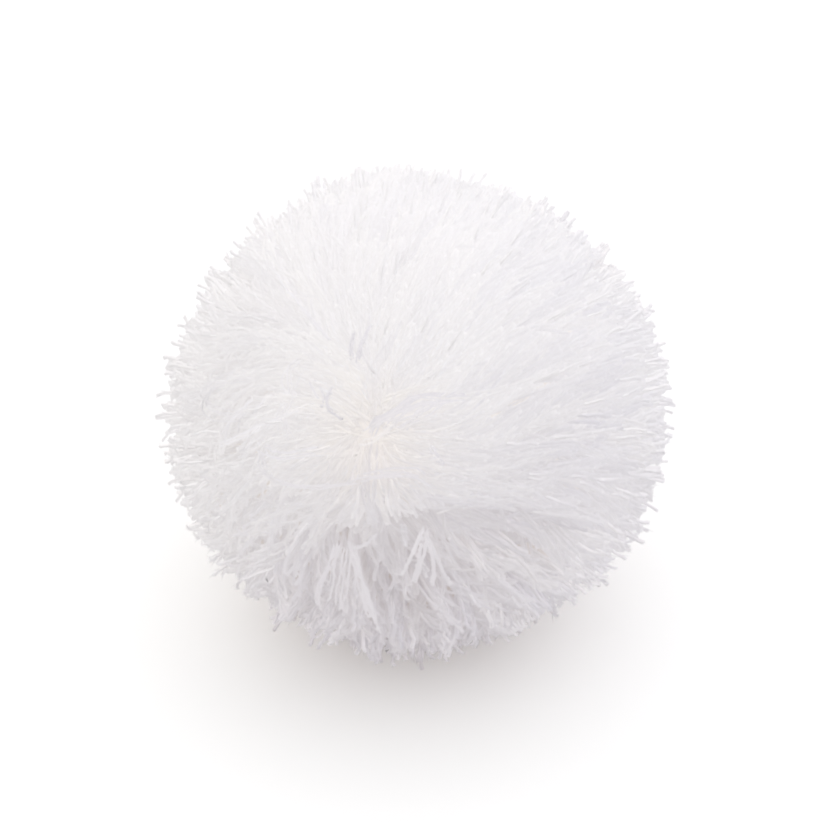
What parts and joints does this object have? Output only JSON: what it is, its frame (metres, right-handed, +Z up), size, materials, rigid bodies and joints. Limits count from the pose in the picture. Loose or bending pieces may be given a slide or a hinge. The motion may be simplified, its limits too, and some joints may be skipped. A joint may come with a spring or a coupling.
{
  "type": "pom pom",
  "caption": "Large round pom pom of cut white plied yarn that falls away from a crown, resting on its slightly flattened underside.",
  "frame": {"origin": "on the table, under the middle of the ball's box", "axes": "+Z up, +X to the right, and the crown where the yarn parts looks to -Y, a little up and to the left"},
  "size_m": [0.1492, 0.146, 0.1331],
  "materials": {
    "white_yarn": "matte"
  },
  "bodies": {
    "root": {"pom_pom": "white_yarn"}
  },
  "joints": []
}
